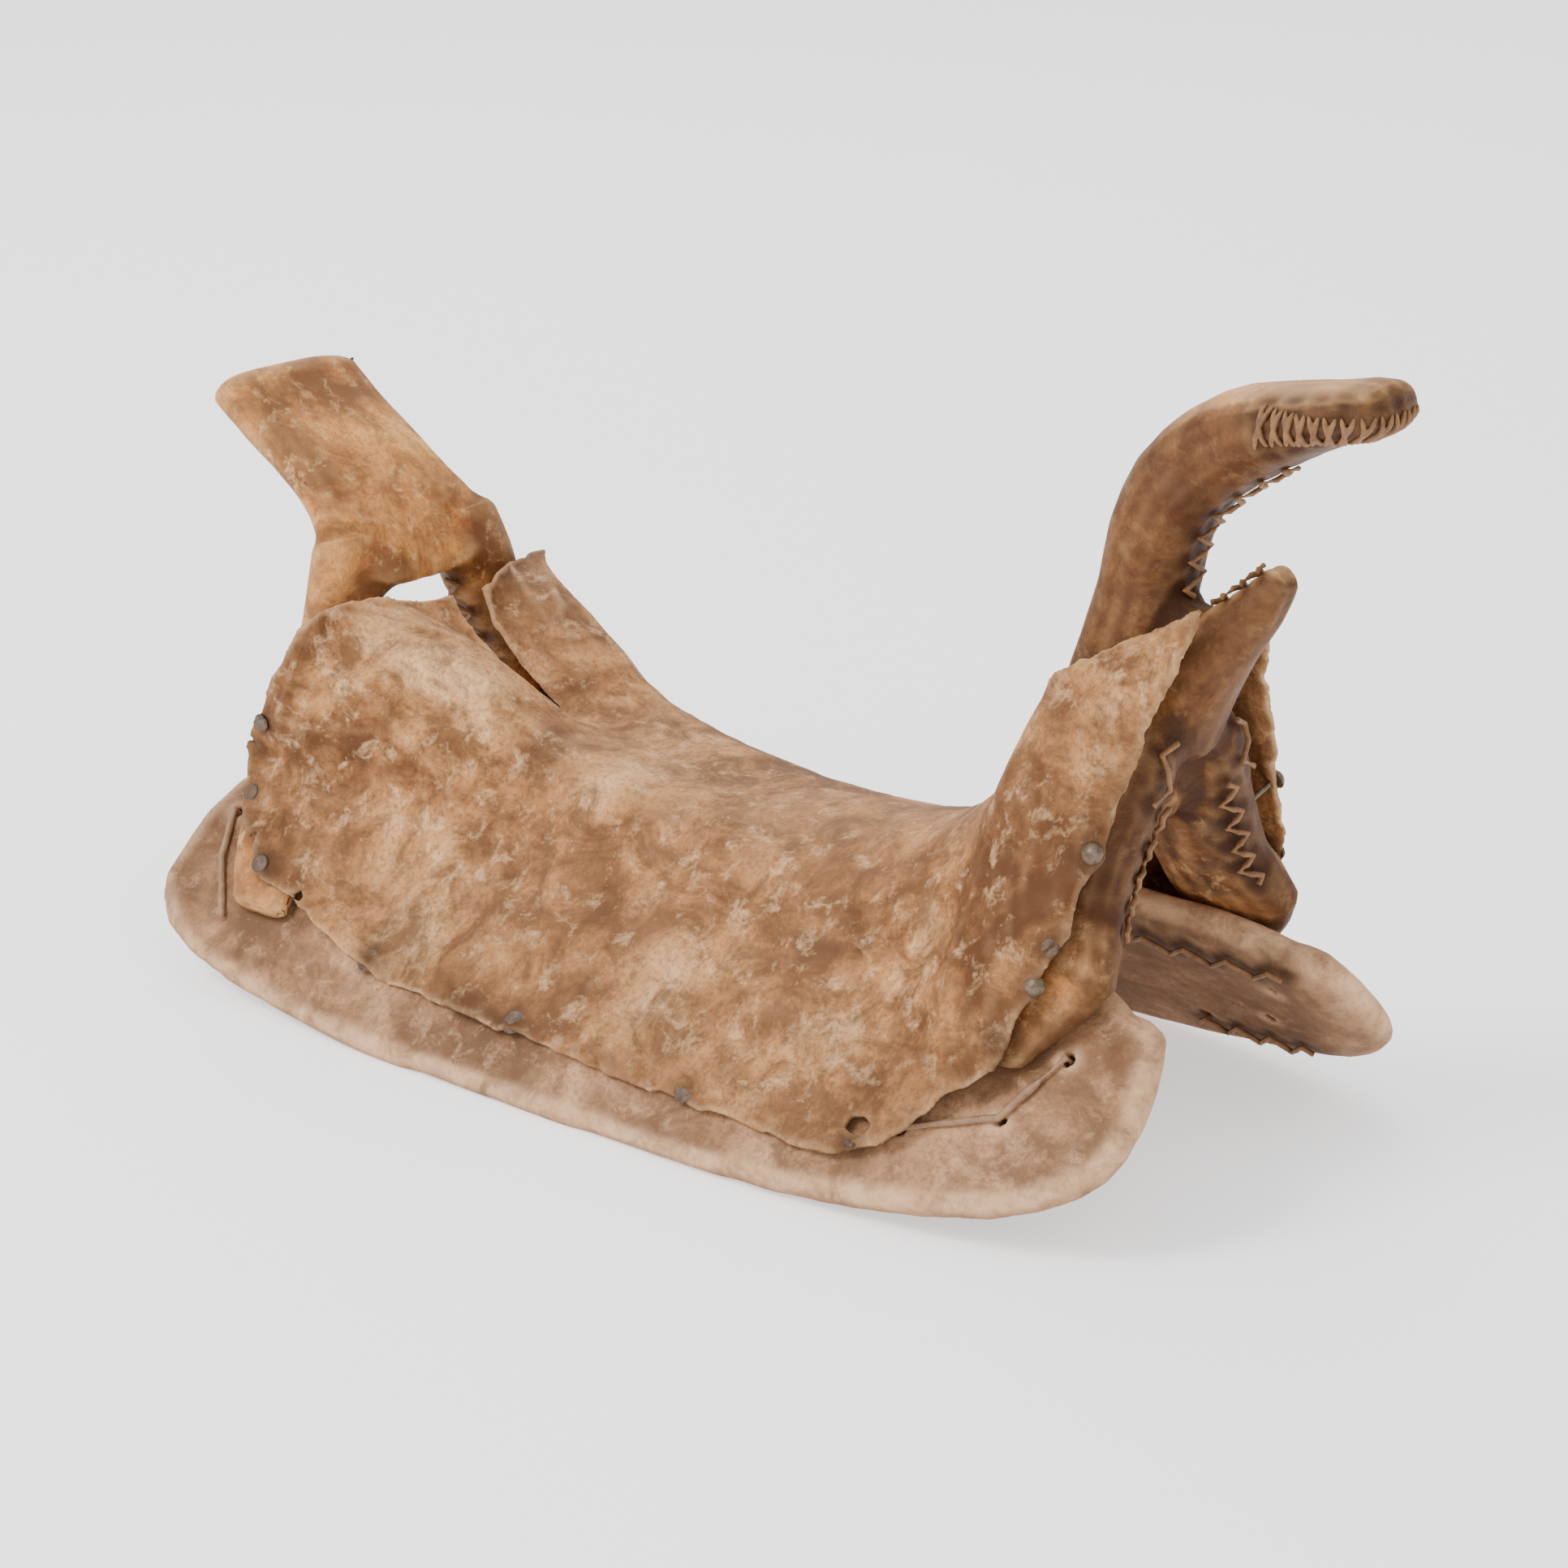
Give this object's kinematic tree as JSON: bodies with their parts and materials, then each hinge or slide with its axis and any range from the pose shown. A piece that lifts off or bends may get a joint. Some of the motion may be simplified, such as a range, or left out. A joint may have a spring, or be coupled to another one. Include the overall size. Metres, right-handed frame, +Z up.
{
  "type": "saddle tree",
  "caption": "Rawhide-covered wooden saddle tree with a curved horn, an open cantle, two bars and a nailed, slit seat leather.",
  "frame": {"origin": "on the floor under the middle of the tree, level with the bars' lower edges", "axes": "+X to the front, where the horn is; +Y to the rider's left; +Z up"},
  "size_m": [0.6262, 0.2816, 0.3511],
  "materials": {
    "bar_wood": "dry, unfinished",
    "fork_wood": "dry, unfinished",
    "bar_rawhide": "dry, dusty rawhide",
    "fork_rawhide": "rubbed rawhide, slight sheen",
    "cantle_rawhide": "rubbed rawhide, slight sheen",
    "seat_leather": "dry, mottled leather",
    "lacing": "dry rawhide lace",
    "thong": "dry rawhide strap",
    "nail_iron": "rusty brown iron",
    "tack_brass": "dark, tarnished"
  },
  "bodies": {
    "root": {"right_bar": "bar_wood", "left_bar": "bar_wood", "front_fork": "fork_wood", "cantle": "fork_wood", "right_bar_rawhide": "bar_rawhide", "left_bar_rawhide": "bar_rawhide", "front_fork_rawhide": "fork_rawhide", "cantle_rawhide": "cantle_rawhide", "seat_leather": "seat_leather", "horn_cap_lacing": "lacing", "horn_seam_lacing": "lacing", "hook_lacing": "lacing", "throat_lacing": "lacing", "right_leg_lacing": "lacing", "left_leg_lacing": "lacing", "right_bar_lacing": "lacing", "left_bar_lacing": "lacing", "cantle_arch_lacing": "lacing", "front_right_thong": "thong", "front_left_thong": "thong", "rear_right_thong": "thong", "rear_left_thong": "thong", "right_clout_nails": "nail_iron", "left_clout_nails": "nail_iron", "side_nails": "nail_iron", "slotted_screws": "nail_iron", "sunk_nails": "nail_iron", "bent_nail": "nail_iron", "dome_tacks": "tack_brass"}
  },
  "joints": []
}
